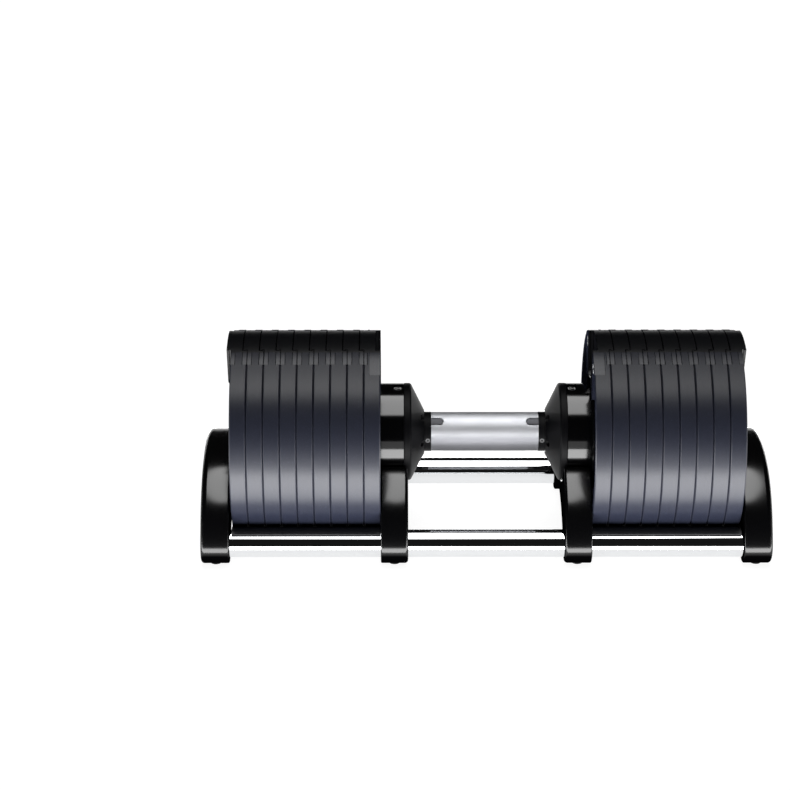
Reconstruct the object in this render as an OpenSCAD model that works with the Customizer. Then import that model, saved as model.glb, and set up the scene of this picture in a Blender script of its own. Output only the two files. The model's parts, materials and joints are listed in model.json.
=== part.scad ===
// Adjustable dumbbell standing in its cradle, at its lightest setting.
// X runs along the handle, Y across it and Z up.
// The origin is on the floor, under the middle of the handle.

/* [Plates] */
// Outside diameter of every disc
plate_d = 168; // [140:1:205]
// Distance from one disc's inner face to the next one's
plate_pitch = 13.4; // [12:0.1:16.4]
// Air between neighbouring discs
plate_gap = 0.3; // [0.25:0.05:0.5]
// Bevel round the rim of a disc
rim_bevel = 0.8; // [0.3:0.1:1.5]
// Hole in each disc that the selector rod passes through
plate_bore_d = 24.6; // [24.2:0.1:28]

/* [Interlocks] */
// Depth of the interlock insert below the rim
insert_depth = 43.7; // [38:0.1:46]
// Radius of the insert's round side flanges
flange_r = 37.7; // [35:0.1:40]
// Thickness of each side flange
flange_t = 3.6; // [3:0.1:4.4]
// Half width of the insert's thick middle
core_half = 24.2; // [23.8:0.1:26]
// How far the tongue stands out of the outer face
tongue_h = 3.7; // [3.2:0.1:4.2]
// Half width of the tongue where it meets the rim
tongue_top = 21.6; // [18:0.1:21.8]
// Half width of the tongue at its foot
tongue_foot = 11; // [8:0.1:13]
// How far the tongue's lip reaches past its neck
tongue_lip = 0.9; // [0.5:0.1:1.2]

/* [Grip] */
// Outside diameter of the knurled grip tube
grip_d = 32; // [30:0.5:36]
// Length of the grip tube
grip_l = 88; // [72:0.5:110]
// Wall of the grip tube
grip_wall = 2.5; // [2:0.1:2.5]
// Width of the drive tongues let into the grip's ends
key_w = 6; // [4:0.5:8]
// Length of the drive tongues
key_l = 9.5; // [7:0.5:14]
// Bare stretch of the drive collar between grip and hub
collar_l = 5.7; // [4:0.1:9]

/* [Hub] */
// Outside diameter of the hub
hub_d = 80; // [72:0.5:86]
// Diameter of the hub's flange inside the first disc
hub_flange_d = 94; // [90:0.5:94.5]
// Length of the hub's cone
cone_l = 11.3; // [9:0.1:16]
// Diameter of the small end of the cone
cone_tip_d = 35.6; // [35.4:0.1:38]
// Straight stretch behind the cone, up to the joint line
cone_skirt_l = 5.7; // [4:0.1:9]
// Hub body between the joint line and the first disc
hub_body_l = 18.8; // [18.6:0.1:24]

/* [Selector rods] */
// Diameter of the selector rods
rod_d = 22.8; // [22.4:0.1:23]
// Whole turn of the grip that passes over one plate, in degrees
click_angle = 40; // [36:1:42]
// Width of the straight keyways
keyway_w = 3.2; // [2.6:0.1:4]
// Diameter of the drive pins
drive_pin_d = 4; // [3.4:0.1:4.2]

/* [Cradle] */
// Diameter of the two rails
rail_d = 22.6; // [20:0.1:23]
// Air between the discs and the floor
floor_gap = 0.8; // [0.5:0.1:5]
// Angle from straight down to each rail, seen from the handle axis
cradle_angle = 46; // [42:0.5:50]
// Thickness of the rest pads on the rails
pad_t = 2.3; // [1.8:0.1:3.5]
// Thickness of the end brackets
end_bracket_t = 22.9; // [20:0.1:28]
// Thickness of the inner brackets
inner_bracket_t = 22; // [16:0.1:22]
// Radius of the round boss at each rail
boss_r = 16; // [15.5:0.1:16.5]
// How far the top of an end bracket stays below the handle axis
arch_drop = 8.5; // [6:0.5:14]
// How far the opening under each bracket rises above the rail axis
under_rise = 14.5; // [9:0.5:17]

/* [Hidden] */
$fn = 96;
SIDES = ["left", "right"];
plate_count = 8;

// clearances
clear = 0.3;
fit = 0.05;
joint_line = 0.1;
insert_gap = 0.3;
key_gap = 0.35;
over = 1;
beyond = 400;

// plates
plate_r = plate_d / 2;
disc_t = plate_pitch - plate_gap;
insert_r = plate_r - joint_line * 3;
flange_v = plate_r - 6;
flange_step = 2.2;
first_flange_t = 2.6;
fan_half_angle = 34;
fan_gap = 0.6;
fan_screw_y = 31;
fan_screw_drop = 15.7;
tongue_neck = tongue_h * 0.46;
tongue_v0 = plate_r - 32;
tongue_root = 0.5;
foot_bulge = 1.6;
foot_rise = sqrt(pow(tongue_foot + foot_bulge, 2) - pow(tongue_foot, 2));
slot_play = 0.35;
slot_lip = tongue_neck - plate_gap - clear;
slot_depth = tongue_h - plate_gap + 0.5;

// stations along the handle, outwards from the middle
grip_end = grip_l / 2;
hub_x = grip_end + collar_l;
skirt_x = hub_x + cone_l;
body_x = skirt_x + cone_skirt_l;
disc_x = body_x + hub_body_l;
stack_end = disc_x + (plate_count + 1) * plate_pitch - plate_gap;
inner_bracket_x = disc_x - clear - inner_bracket_t;
end_bracket_x = stack_end + 2;
cradle_end = end_bracket_x + end_bracket_t;

// heights
rail_r = rail_d / 2;
rest_r = plate_r + clear + pad_t + rail_r;
least_foot = 0.6;
rail_y = rest_r * sin(cradle_angle);
rail_z = max(boss_r + least_foot, plate_r + floor_gap - rest_r * cos(cradle_angle));
foot_h = rail_z - boss_r;
axis_z = rail_z + rest_r * cos(cradle_angle);
arch_top = axis_z - arch_drop;

// drive, hub and rods
key_first = 35;
well_count = 6;
well_r = 2.8;
well_out = 2.9;
well_depth = 4.6;
spigot_l = 3;
spigot_x = grip_end - key_l - spigot_l;
key_drop = 0.15;
dimple_r = 1.8;
rod_r = rod_d / 2;
grip_r = grip_d / 2;
grip_bore_r = grip_r - grip_wall;
collar_r = grip_r + 0.2;
collar_bore_r = rod_r + 0.4;
collar_wall = collar_r - collar_bore_r;
nut_r = 23.95;
nut_x = body_x + 0.5;
nut_l = 9;
drive_pin_x = nut_x + 5.8;
drive_pin_tip = rod_r - 2;
hub_r = hub_d / 2;
hub_wall = 1.9;
window_w = 14;
window_l = 7.4;
window_x = body_x + 0.8;
cavity_r = hub_r - hub_wall;
flange_edge = 0.8;
bulkhead_x = nut_x + nut_l + clear;
bush_l = 8;
bush_r = 18;
bush_end = bulkhead_x + bush_l;
key_root = rod_r - 1.9;
key_deep = 2.6;
keyway_root = key_root - clear;
dish_depth = 9;
dish_r = plate_r - 7;
dish_floor = disc_x + dish_depth;
rod_bore_r = plate_bore_d / 2;
detent_count = plate_count + 1;
detent_r = 21;
plunger_r = 2.4;
plunger_l = 9.5;

travel = plate_count * plate_pitch;
lead = plate_pitch * 360 / click_angle;
rod_tip = disc_x + disc_t - 1.2;
rod_l = rod_tip + travel - (drive_pin_x - 8.4);
rod_inner = rod_tip - rod_l;
fork_l = 2.8 - 2 * rod_inner;
fork_half = 41;
fork_bore_r = 5;
keyway_x = bush_end + clear;
keyway_l = bush_l + travel + 2 * clear;
groove_end = drive_pin_x + drive_pin_d / 2 + 2.4;
groove_w = drive_pin_d + 1.4;
groove_depth = 2.3;

// bracket outline seen along X: a crown, two shoulders, two bosses and the arch underneath
side_tilt = 15;
crown_sink = 2;
shoulder_r = (arch_top - rail_z - boss_r * sin(side_tilt) - crown_sink) / (1 - sin(side_tilt));
shoulder_y = rail_y - (shoulder_r - boss_r) * cos(side_tilt);
shoulder_z = rail_z - (shoulder_r - boss_r) * sin(side_tilt);
crown_rise = arch_top - shoulder_z;
crown_r = (pow(shoulder_y, 2) + pow(crown_rise, 2) - pow(shoulder_r, 2)) / (2 * crown_sink);
crown_z = arch_top - crown_r;
crown_half = shoulder_y * crown_r / (crown_r - shoulder_r);
under_w = rail_y - boss_r;
under_foot = 4;
under_sag = under_rise + under_foot;
under_r = (pow(under_w, 2) + pow(under_sag, 2)) / (2 * under_sag);
under_z = rail_z + under_rise - under_r;
bracket_round = 5;
boss_sink = 0.6;
boss_proud = 0.02;
arch_fn = 240;
outline_fn = 96;
boss_fn = 32;
dish_inset = 7;
end_dish = 11;
inner_dish = 6;
boss_ring = 1.5;
hub_gap = 0.5;

// screws
screw_r = 2.5;
grub_r = 2;
screw_head_r = 4.8;
screw_head_h = 2.6;
hub_screw_pcd = 64;
hub_screw_l = 14;
rail_screw_r = 4;
rail_screw_head_r = 6.5;
rail_screw_l = 22;
rail_thread_r = rail_screw_r - 0.6;
rail_thread_l = 16;
rail_socket_r = 3;
socket_floor = 0.4;
socket_r = 1.7;
socket_depth = 1.6;
countersink_play = 0.2;
fan_screw_seat = 1.8;
fan_screw_l = dish_depth - 1.6;
rail_seat = 6.9;
counterbore_r = 9.2;
counterbore_h = 2.4;
foot_r = 4.5;
foot_sunk = 2.5;
pad_half_angle = 78;

// Places a flat (Y, Z) drawing at station x, centred on the handle axis, to be extruded along +X
module on_axis(x) {
  translate([x, 0, axis_z]) rotate([90, 0, 90]) children();
}

// The same, measured from the floor
module on_floor(x) {
  translate([x, 0, 0]) rotate([90, 0, 90]) children();
}

// Builds a right-hand piece, or its mirror image on the left
module sided(side) {
  mirror([side == "left" ? 1 : 0, 0, 0]) children();
}

module both_sides() {
  for (side = SIDES) sided(side) children();
}

// Copies round the handle axis
module round_about(count, first) {
  for (i = [0:count - 1]) rotate([0, 0, first + i * 360 / count]) children();
}

// A disc with a bevelled rim
module bevelled_disc(r, t, bevel) {
  rotate_extrude()
    polygon([[0, 0], [r - bevel, 0], [r, bevel], [r, t - bevel], [r - bevel, t], [0, t]]);
}

module tube(r_out, r_in, h) {
  difference() {
    cylinder(r = r_out, h = h);
    translate([0, 0, -over]) cylinder(r = r_in, h = h + 2 * over);
  }
}

// Outline of the V-shaped tongue, grown by g: straight sides that spread upwards from a round foot
module tongue_outline(g) {
  slope = (tongue_top - tongue_foot) / (plate_r - tongue_v0);
  top_v = plate_r + over;
  top_half = tongue_foot + slope * (top_v - tongue_v0);
  polygon([[-tongue_foot - g, tongue_v0], [tongue_foot + g, tongue_v0],
    [top_half + g, top_v], [-top_half - g, top_v]]);
  intersection() {
    translate([0, tongue_v0 + foot_rise]) circle(r = tongue_foot + foot_bulge + g);
    translate([-tongue_foot - g, 0]) square([2 * (tongue_foot + g), tongue_v0 + over]);
  }
}

// The tongue itself: a neck and a wider head that hooks behind the next disc's slot
module tongue() {
  intersection() {
    union() {
      translate([0, 0, disc_t - tongue_root])
        linear_extrude(tongue_root + tongue_neck + joint_line) tongue_outline(0);
      translate([0, 0, disc_t + tongue_neck])
        linear_extrude(tongue_h - tongue_neck) tongue_outline(tongue_lip);
    }
    cylinder(r = insert_r, h = disc_t + tongue_h + over);
  }
}

// The slot that takes the inner neighbour's tongue, open at the rim
module tongue_slot() {
  translate([0, 0, -over]) linear_extrude(slot_lip + over + joint_line) tongue_outline(slot_play);
  translate([0, 0, slot_lip])
    linear_extrude(slot_depth - slot_lip) tongue_outline(tongue_lip + slot_play);
}

// Thick middle of an insert, grown by g
module insert_core(g) {
  intersection() {
    translate([-core_half - g, plate_r - insert_depth - g]) square([2 * (core_half + g), insert_depth + 5]);
    translate([0, flange_v]) circle(r = flange_r - flange_step + g);
  }
}

// Room that an insert takes in its disc: the middle between two round flanges, grown by g all
// round and reaching r past both faces
module insert_body(g, r) {
  translate([0, 0, -r]) linear_extrude(disc_t + 2 * r) insert_core(g);
  for (z = [-r, disc_t - flange_t - g])
    translate([0, flange_v, z]) cylinder(r = flange_r + g, h = flange_t + g + r);
}

module insert_blank() {
  intersection() {
    insert_body(0, 0);
    cylinder(r = insert_r, h = disc_t);
  }
}

// Half of the arch, its outer arcs shrunk by g
module arch_half(g) {
  intersection() {
    translate([0, crown_z]) circle(r = crown_r - g, $fn = arch_fn);
    translate([0, rail_z]) square([crown_half, beyond]);
  }
  intersection() {
    translate([shoulder_y, shoulder_z]) circle(r = shoulder_r - g, $fn = outline_fn);
    translate([crown_half, rail_z + boss_r * sin(side_tilt)]) square([beyond, beyond]);
  }
  translate([rail_y, rail_z]) circle(r = boss_r - boss_sink - g, $fn = boss_fn);
}

// The solid arch, its face at z = 0 square and its face at z = t rounded off
module arch_blank(t) {
  skin = 0.01;
  middle = [t - bracket_round * 0.4, bracket_round * 0.2];
  steps = [[0, 0], [t - bracket_round, 0], middle, [t - skin, bracket_round]];
  hull() for (step = steps, m = [0, 1])
    translate([0, 0, step[0]]) linear_extrude(skin) mirror([m, 0]) arch_half(step[1]);
}

// The arch, opened underneath, on its two bosses
module bracket_shape(t) {
  difference() {
    arch_blank(t);
    translate([0, under_z, -over]) cylinder(r = under_r, h = t + 2 * over);
  }
  for (m = [-1, 1]) translate([m * rail_y, rail_z, -boss_proud])
    cylinder(r = boss_r, h = t + 2 * boss_proud);
}

// Shallow dish in a bracket's face, framed by a rim along the arch
module face_dish(inset, depth) {
  linear_extrude(depth) difference() {
    union() {
      intersection() {
        translate([0, crown_z]) circle(r = crown_r - inset);
        translate([-crown_half, 0]) square([2 * crown_half, beyond]);
      }
      for (m = [0, 1]) mirror([m, 0]) intersection() {
        translate([shoulder_y, shoulder_z]) circle(r = shoulder_r - inset);
        translate([crown_half - boss_proud, rail_z]) square([beyond, beyond]);
      }
    }
    translate([0, under_z]) circle(r = under_r + inset * 0.8);
    for (m = [-1, 1]) translate([m * rail_y, rail_z]) circle(r = boss_r + boss_ring);
  }
}

module foot_seats(t) {
  for (m = [-1, 1]) translate([m * rail_y, -over, t / 2]) rotate([-90, 0, 0])
    cylinder(r = foot_r + fit, h = foot_h + foot_sunk + over);
}

module end_bracket() {
  color("#101012") on_floor(end_bracket_x) difference() {
    bracket_shape(end_bracket_t);
    translate([0, 0, end_bracket_t - end_dish]) face_dish(dish_inset, end_dish + over);
    for (m = [-1, 1]) translate([m * rail_y, rail_z, 0]) {
      translate([0, 0, -over]) cylinder(r = rail_r + fit, h = end_bracket_t - rail_seat + over);
      cylinder(r = rail_screw_r + clear, h = end_bracket_t);
      translate([0, 0, end_bracket_t - counterbore_h]) cylinder(r = counterbore_r, h = counterbore_h + over);
    }
    foot_seats(end_bracket_t);
  }
}

// The inner bracket faces the middle, so its rounded side is turned inwards
module inner_bracket() {
  color("#101012") difference() {
    on_floor(inner_bracket_x + inner_bracket_t) mirror([0, 0, 1]) difference() {
      bracket_shape(inner_bracket_t);
      translate([0, 0, inner_bracket_t - inner_dish]) face_dish(dish_inset, inner_dish + over);
      for (m = [-1, 1]) translate([m * rail_y, rail_z, -over])
        cylinder(r = rail_r + fit, h = inner_bracket_t + 2 * over);
      foot_seats(inner_bracket_t);
    }
    on_axis(inner_bracket_x - over) cylinder(r = hub_r + hub_gap, h = inner_bracket_t + 2 * over);
  }
}

module rail(front) {
  color("#e8e8ea") translate([0, front ? -rail_y : rail_y, rail_z]) rotate([0, 90, 0]) {
    half = cradle_end - rail_seat;
    difference() {
      cylinder(r = rail_r, h = 2 * half, center = true);
      for (m = [0, 1]) mirror([0, 0, m]) translate([0, 0, half - rail_screw_l])
        cylinder(r = rail_thread_r, h = rail_screw_l + over);
    }
  }
}

// Socket-head screws that pull each end bracket onto a rail
module rail_screws() {
  color("#8d9096") both_sides() for (m = [-1, 1])
    on_floor(cradle_end - counterbore_h) translate([m * rail_y, rail_z, 0]) difference() {
      union() {
        cylinder(r = rail_screw_head_r, h = counterbore_h - socket_floor);
        translate([0, 0, -rail_thread_l]) cylinder(r = rail_thread_r, h = rail_thread_l);
      }
      translate([0, 0, socket_floor]) cylinder(r = rail_socket_r, h = counterbore_h, $fn = 6);
    }
}

// Nylon strips along the rails that the loose plates stand on
module rest_pads() {
  color("#141416") both_sides() for (m = [-1, 1])
    on_floor(disc_x) translate([m * rail_y, rail_z, 0]) intersection() {
      tube(rail_r + pad_t, rail_r + fit, stack_end - disc_x);
      rotate([0, 0, 90 + m * cradle_angle]) linear_extrude(stack_end - disc_x)
        polygon([[0, 0], [beyond, -beyond * tan(pad_half_angle)], [beyond, beyond * tan(pad_half_angle)]]);
    }
}

module rubber_feet() {
  color("#1c1c1c") both_sides()
    for (x = [inner_bracket_x + inner_bracket_t / 2, end_bracket_x + end_bracket_t / 2], m = [-1, 1])
      translate([x, m * rail_y, 0]) cylinder(r = foot_r, h = foot_h + foot_sunk);
}

// Fan between hub flange and rim that carries the insert of the first disc
module fan_outline(g) {
  far_y = beyond * sin(fan_half_angle) + g;
  far_z = beyond * cos(fan_half_angle);
  difference() {
    polygon([[0, 0], [far_y, far_z], [-far_y, far_z]]);
    circle(r = hub_flange_d / 2 + fan_gap - g);
  }
}

module first_disc() {
  color("#23252c") on_axis(disc_x) difference() {
    bevelled_disc(plate_r, disc_t, rim_bevel);
    translate([0, 0, -over]) cylinder(r = dish_r, h = dish_depth + over);
    translate([0, 0, -over]) cylinder(r = rod_bore_r, h = disc_t + 2 * over);
    first_insert_room(insert_gap);
    round_about(4, 45) translate([hub_screw_pcd / 2, 0, 0]) {
      cylinder(r = screw_r + countersink_play, h = disc_t + over);
      translate([0, 0, disc_t - screw_head_h])
        cylinder(r1 = screw_r + countersink_play, r2 = screw_head_r + clear, h = screw_head_h + joint_line);
    }
  }
}

// The first insert is the fan, let into the rim and the web of the first disc
module first_insert_room(g) {
  translate([0, 0, -over]) intersection() {
    linear_extrude(dish_depth + over) fan_outline(g);
    cylinder(r = plate_r + over, h = dish_depth + over);
  }
  intersection() {
    union() {
      translate([0, 0, dish_depth]) linear_extrude(disc_t - dish_depth + over) insert_core(g);
      linear_extrude(disc_t) intersection() {
        insert_core(g);
        fan_outline(g);
      }
    }
    cylinder(r = plate_r + over, h = disc_t + over);
  }
  translate([0, flange_v, disc_t - first_flange_t - g])
    cylinder(r = flange_r + g, h = first_flange_t + g + over);
}

module first_insert() {
  color("#1b1b1e") on_axis(disc_x) difference() {
    union() {
      intersection() {
        first_insert_room(0);
        cylinder(r = insert_r, h = disc_t);
      }
      tongue();
    }
    tongue_slot();
    for (m = [-1, 1]) translate([m * fan_screw_y, plate_r - fan_screw_drop, -over]) {
      cylinder(r = screw_head_r + clear, h = over + fan_screw_seat);
      cylinder(r = screw_r + joint_line, h = over + fan_screw_l + joint_line);
    }
  }
}

// Hub body: a shell round the dial, a bulkhead with the guide bush and a flange in the dish
module hub_body() {
  color("#0c0c0e") on_axis(0) difference() {
    union() {
      translate([0, 0, body_x]) cylinder(r = hub_r, h = dish_floor - body_x - fit);
      translate([0, 0, disc_x + flange_edge])
        bevelled_disc(hub_flange_d / 2, dish_depth - fit - flange_edge, flange_edge);
    }
    translate([0, 0, body_x - over]) cylinder(r = cavity_r, h = bulkhead_x - body_x + over);
    translate([0, 0, bulkhead_x - over]) cylinder(r = bush_r + fit, h = bush_l + over);
    cylinder(r = rod_bore_r, h = beyond);
    dial_window();
    plunger_places() cylinder(r = plunger_r + 0.02, h = plunger_l + 0.5);
    hub_screw_places() translate([0, 0, -hub_screw_l - over])
      cylinder(r = screw_r, h = hub_screw_l + 2 * over);
  }
}

// Window on top of the hub, with round ends, through which a number on the dial shows
module dial_window() {
  end_r = window_l / 2;
  flat = window_w - window_l;
  translate([0, cavity_r - 2, window_x + end_r]) rotate([-90, 0, 0]) {
    for (m = [-1, 1]) translate([m * flat / 2, 0, 0]) cylinder(r = end_r, h = hub_wall + 6);
    translate([-flat / 2, -end_r, 0]) cube([flat, window_l, hub_wall + 6]);
  }
}

module plunger_places() {
  round_about(1, 180) translate([detent_r, 0, bulkhead_x - 0.01]) children();
}

module hub_screw_places() {
  round_about(4, 45) translate([hub_screw_pcd / 2, 0, dish_floor]) children();
}

// Cone that covers the drive, with six spanner wells sunk into its narrow end
module hub_cone() {
  edge = 0.6;
  tip_r = cone_tip_d / 2;
  end_x = body_x - joint_line;
  color("#0c0c0e") on_axis(0) difference() {
    rotate_extrude() polygon([
      [collar_r + fit, hub_x], [tip_r, hub_x], [hub_r - 1, skirt_x - edge], [hub_r, skirt_x + edge],
      [hub_r, body_x - edge], [hub_r - edge, end_x], [collar_r + fit, end_x]
    ]);
    round_about(well_count, 90 + key_first) translate([tip_r + well_out, 0, hub_x - over])
      cylinder(r = well_r, h = over + well_depth);
  }
}

// Countersunk screws: four through the first disc into the hub, two that hold its insert
module hub_screws() {
  color("#7d8086") both_sides() on_axis(0) {
    hub_screw_places() translate([0, 0, disc_t - dish_depth - joint_line]) difference() {
      union() {
        translate([0, 0, -screw_head_h]) cylinder(r1 = screw_r, r2 = screw_head_r, h = screw_head_h);
        translate([0, 0, -hub_screw_l])
          cylinder(r = screw_r - 0.02, h = hub_screw_l - screw_head_h + joint_line);
      }
      translate([0, 0, -socket_depth]) cylinder(r = socket_r, h = socket_depth + over, $fn = 6);
    }
    for (m = [-1, 1]) translate([m * fan_screw_y, plate_r - fan_screw_drop, disc_x]) difference() {
      union() {
        translate([0, 0, clear]) cylinder(r = screw_head_r, h = fan_screw_seat - clear - fit);
        translate([0, 0, clear]) cylinder(r = screw_r, h = fan_screw_l - clear);
      }
      translate([0, 0, -over]) cylinder(r = socket_r, h = over + socket_depth, $fn = 6);
    }
  }
}

// Turn given to the left rod and its guides, so the two forks slip between each other
function quarter(side) = side == "left" ? 90 : 0;

// Bush in each bulkhead that guides the rod and keeps it from turning
module guide_bushes() {
  h = bush_l - 2 * joint_line;
  color("#b98f45") for (side = SIDES) sided(side)
    on_axis(bulkhead_x + joint_line) rotate([0, 0, quarter(side)]) {
      tube(bush_r, rod_r + fit, h);
      for (a = [0, 180]) rotate([0, 0, a]) translate([key_root, -keyway_w / 2 + clear, 0])
        cube([key_deep, keyway_w - 2 * clear, h]);
    }
}

// Spring plungers that click into the back of the drive nut
module detent_plungers() {
  tip_r = 1.6;
  color("#a8abb0") both_sides() on_axis(0) plunger_places() translate([0, 0, 0.02]) {
    translate([0, 0, 1]) cylinder(r = plunger_r, h = plunger_l - 1);
    translate([0, 0, tip_r]) sphere(r = tip_r);
  }
}

// Drive tongues and their notches in the grip share one outline, rolled round the grip
module key_places() {
  round_about(3, 90 + key_first) children();
}

module key_shape(g) {
  translate([0, 0, grip_end - key_l + key_w / 2]) rotate([0, 90, 0])
    cylinder(r = key_w / 2 + g, h = grip_r + 2);
  translate([0, -key_w / 2 - g, grip_end - key_l + key_w / 2]) cube([grip_r + 2, key_w + 2 * g, key_l]);
}

module grip_tube() {
  color("#c9cbd0") on_axis(0) difference() {
    translate([0, 0, -grip_end]) tube(grip_r, grip_bore_r, grip_l);
    for (m = [0, 1]) mirror([0, 0, m]) key_places() key_shape(key_gap);
  }
}

// Drive collar: keyed to the grip, it runs through the cone and carries the nut and its pins
module drive_collar(side) {
  color("#17171a") on_axis(0) {
    difference() {
      union() {
        translate([0, 0, grip_end + joint_line]) cylinder(r = collar_r, h = nut_x - grip_end);
        translate([0, 0, nut_x]) cylinder(r = nut_r, h = nut_l);
        translate([0, 0, spigot_x]) cylinder(r = grip_bore_r - fit, h = key_l + spigot_l + over);
        intersection() {
          key_places() key_shape(0);
          translate([0, 0, spigot_x]) cylinder(r = grip_r - key_drop, h = key_l + spigot_l + over);
        }
      }
      cylinder(r = collar_bore_r, h = beyond);
      round_about(detent_count, 180) translate([detent_r, 0, nut_x + nut_l + clear]) sphere(r = dimple_r);
      collar_screw_places() cylinder(r = grub_r, h = grip_r);
    }
    round_about(3, quarter(side)) translate([drive_pin_tip, 0, drive_pin_x]) rotate([0, 90, 0])
      cylinder(r = drive_pin_d / 2, h = nut_r - drive_pin_tip - 2);
  }
}

module collar_screw_places() {
  round_about(3, 150 + key_first) translate([collar_bore_r - over, 0, grip_end + collar_l / 2])
    rotate([0, 90, 0]) children();
}

// Grub screws that lock each collar on its spigot
module collar_screws() {
  color("#b9bcc2") both_sides() on_axis(0) collar_screw_places() difference() {
    translate([0, 0, over + joint_line]) cylinder(r = grub_r - 0.02, h = collar_wall - 4 * joint_line);
    translate([0, 0, collar_wall - 6 * joint_line]) cylinder(r = grub_r / 2, h = 3, $fn = 6);
  }
}

// Ring that carries the weight numbers past the window in the hub
module dial_ring() {
  color("#1a1a1c") on_axis(nut_x + 0.4) tube(cavity_r - clear, nut_r + fit, nut_l - 1.4);
}

// Selector rod: a solid nose, then a two-legged fork that slips past the other rod's fork.
// Three long helical grooves follow the drive pins and two keyways follow the bush.
module selector_rod(side) {
  groove_l = groove_end - rod_inner + over;
  leg_cut = 90 - fork_half;
  nose = 1.5;
  slice_l = 2.6;
  twist_rate = 360 / lead;
  groove_phase = (drive_pin_x - rod_inner + over) * twist_rate;
  color("#9fa3aa") on_axis(0) difference() {
    translate([0, 0, rod_inner])
      rotate_extrude()
        polygon([[0, 0], [rod_r, 0], [rod_r, rod_l - nose], [rod_r - nose, rod_l], [0, rod_l]]);
    translate([0, 0, rod_inner - over]) {
      cylinder(r = fork_bore_r, h = fork_l + over);
      rotate([0, 0, quarter(side)]) linear_extrude(fork_l + over) for (a = [90, 270]) rotate(a)
        polygon([[0, 0], [beyond, -beyond * tan(leg_cut)], [beyond, beyond * tan(leg_cut)]]);
    }
    for (a = [0, 180]) rotate([0, 0, a + quarter(side)])
      translate([keyway_root, -keyway_w / 2, keyway_x - keyway_l]) cube([beyond, keyway_w, keyway_l]);
    round_about(3, quarter(side) + groove_phase) translate([0, 0, rod_inner - over])
      linear_extrude(groove_l, twist = groove_l * twist_rate, slices = round(groove_l / slice_l), $fn = 4)
        translate([rod_r - groove_depth, -groove_w / 2]) square([2 * groove_depth, groove_w]);
  }
}

// Steel plate n, counted outwards, cut away for its interlock insert
module plate(n) {
  color("#2e3340") on_axis(disc_x + n * plate_pitch) difference() {
    bevelled_disc(plate_r, disc_t, rim_bevel);
    translate([0, 0, -over]) cylinder(r = rod_bore_r, h = disc_t + 2 * over);
    insert_body(insert_gap, over);
  }
}

// Nylon insert of plate n: slot on the inner face, tongue on the outer face
module insert(n) {
  color("#1b1b1e") on_axis(disc_x + n * plate_pitch) difference() {
    union() {
      insert_blank();
      tongue();
    }
    tongue_slot();
  }
}

for (s = SIDES) {
  sided(s) end_bracket();
  sided(s) inner_bracket();
  sided(s) first_disc();
  sided(s) first_insert();
  sided(s) hub_body();
  sided(s) hub_cone();
  sided(s) drive_collar(s);
  sided(s) dial_ring();
  sided(s) selector_rod(s);
  for (n = [1:plate_count]) {
    sided(s) plate(n);
    sided(s) insert(n);
  }
}
rail(true);  // rail_front
rail(false);  // rail_rear
rail_screws();
rest_pads();
rubber_feet();
hub_screws();
guide_bushes();
detent_plungers();
grip_tube();
collar_screws();
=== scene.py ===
# %% [markdown]
# # An adjustable dumbbell in its cradle
# The steel, nylon and chrome parts of this dumbbell already exist as exact CAD solids. This lesson dresses
# them: it loads the solids as a fixed frame, keeps those whose shape is right and gives them real finishes,
# and works out new surfaces where the real piece has knurling, mouldings or rounded edges that the CAD
# leaves plain. Every new surface is a formula on a grid, so each cell can be read as a small drawing.

# %% Load the frame
import json
import math

import bmesh
import bpy
import numpy as np
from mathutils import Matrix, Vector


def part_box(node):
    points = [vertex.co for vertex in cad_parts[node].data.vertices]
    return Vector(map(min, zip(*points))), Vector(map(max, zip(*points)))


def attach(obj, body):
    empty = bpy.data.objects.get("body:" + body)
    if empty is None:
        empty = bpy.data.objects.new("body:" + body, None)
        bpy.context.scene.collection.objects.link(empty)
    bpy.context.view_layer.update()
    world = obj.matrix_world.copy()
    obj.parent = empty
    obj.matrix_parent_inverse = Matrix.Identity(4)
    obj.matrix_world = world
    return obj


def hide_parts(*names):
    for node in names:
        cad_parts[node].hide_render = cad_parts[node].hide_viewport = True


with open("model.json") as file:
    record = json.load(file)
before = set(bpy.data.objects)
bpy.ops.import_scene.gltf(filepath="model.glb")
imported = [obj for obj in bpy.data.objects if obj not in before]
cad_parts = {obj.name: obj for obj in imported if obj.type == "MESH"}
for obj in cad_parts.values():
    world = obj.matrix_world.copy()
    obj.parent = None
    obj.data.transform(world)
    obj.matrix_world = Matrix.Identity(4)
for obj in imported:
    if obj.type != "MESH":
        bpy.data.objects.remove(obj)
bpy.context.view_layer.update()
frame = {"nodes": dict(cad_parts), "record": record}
MM = 0.001
SIDES = ("left", "right")
PLATE_COUNT = 8

# %% [markdown]
# ## Measures
# A maker measures the part before making what goes on it. The rails, the grip, the hubs and the brackets
# give all the places that the new pieces need, so nothing here has to be fitted by eye.

# %% Measure the frame
rail_low, rail_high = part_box("rail_front")
RAIL_Y = -(rail_low.y + rail_high.y) / 2
RAIL_Z = (rail_low.z + rail_high.z) / 2
RAIL_R = (rail_high.z - rail_low.z) / 2
RAIL_END = rail_high.x
grip_low, grip_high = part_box("grip_tube")
AXIS_Z = (grip_low.z + grip_high.z) / 2
GRIP_R = (grip_high.z - grip_low.z) / 2
GRIP_END = grip_high.x
cone_low, cone_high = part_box("hub_cone_right")
HUB_R = (cone_high.z - cone_low.z) / 2
end_low, end_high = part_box("end_bracket_right")
inner_low, inner_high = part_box("inner_bracket_right")
BOSS_R = end_high.y - RAIL_Y
ARCH_TOP = end_high.z
dial_low, dial_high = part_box("dial_ring_right")
DIAL_R = (dial_high.z - dial_low.z) / 2
DIAL_X = (dial_low.x + dial_high.x) / 2
print("handle axis height", round(AXIS_Z / MM, 2), "mm")
print("rails at", round(RAIL_Y / MM, 2), round(RAIL_Z / MM, 2), "mm")

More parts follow.
